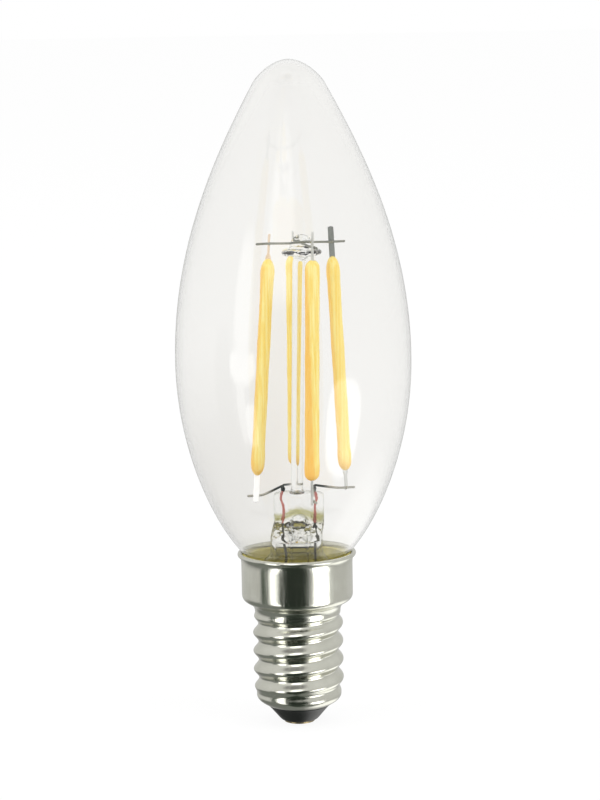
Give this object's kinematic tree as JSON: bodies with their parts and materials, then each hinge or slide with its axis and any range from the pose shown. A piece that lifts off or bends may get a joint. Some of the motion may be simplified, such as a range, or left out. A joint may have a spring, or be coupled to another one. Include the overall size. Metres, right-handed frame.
{
  "type": "filament bulb",
  "caption": "Clear candle-shaped glass lamp bulb with upright LED filaments round a glass stem and a small screw cap.",
  "frame": {"origin": "centre of the contact at the tip of the screw cap, on the bulb's axis", "axes": "+Z along the bulb's axis from the cap's tip to the nose of the glass; +X to the right and -Y towards the viewer in the picture"},
  "size_m": [0.0354, 0.0354, 0.1002],
  "materials": {
    "clear_glass": "clear, thin blown",
    "stem_glass": "clear, pressed and drawn",
    "nickel_plate": "bright nickel plate on thin pressed sheet",
    "black_glass": "shiny black fused glass",
    "brass_plate": "plain plate",
    "solder": "dull tin solder",
    "olive_cement": "hard matt lamp cement",
    "circuit_board": "lacquered board",
    "dark_case": "moulded case",
    "pale_ceramic": "matt white ceramic",
    "chip_crystal": "clear crystal with a metal trace",
    "yellow_silicone": "soft translucent silicone with phosphor",
    "red_seal_wire": "oxidised copper skin, seen red through the glass",
    "nickel_wire": "drawn nickel wire",
    "plated_tab": "bright plated strip"
  },
  "bodies": {
    "root": {"glass_envelope": "clear_glass", "stem_flare": "stem_glass", "exhaust_tube": "stem_glass", "center_rod": "stem_glass", "screw_shell": "nickel_plate", "insulator": "black_glass", "tip_contact": "brass_plate", "contact_solder": "solder", "cement_ring": "olive_cement", "driver_board": "circuit_board", "rectifier": "dark_case", "driver_chip": "dark_case", "sense_resistor": "dark_case", "smoothing_capacitor": "pale_ceramic", "fuse_resistor": "pale_ceramic", "filament_strip_left": "pale_ceramic", "filament_strip_right": "pale_ceramic", "filament_strip_front": "pale_ceramic", "filament_strip_rear": "pale_ceramic", "filament_chips_left": "chip_crystal", "filament_chips_right": "chip_crystal", "filament_chips_front": "chip_crystal", "filament_chips_rear": "chip_crystal", "filament_coat_left": "yellow_silicone", "filament_coat_right": "yellow_silicone", "filament_coat_front": "yellow_silicone", "filament_coat_rear": "yellow_silicone", "seal_wire_left": "red_seal_wire", "seal_wire_right": "red_seal_wire", "shell_lead": "nickel_wire", "outer_lead_left": "nickel_wire", "outer_lead_right": "nickel_wire", "upper_wire_side": "nickel_wire", "upper_wire_cross": "nickel_wire", "arm_left": "nickel_wire", "arm_right": "nickel_wire", "arm_front": "nickel_wire", "arm_rear": "nickel_wire", "upper_tab_left": "plated_tab", "upper_tab_right": "plated_tab", "upper_tab_front": "plated_tab", "upper_tab_rear": "plated_tab", "lower_tab_left": "plated_tab", "lower_tab_right": "plated_tab", "lower_tab_front": "plated_tab", "lower_tab_rear": "plated_tab"}
  },
  "joints": []
}
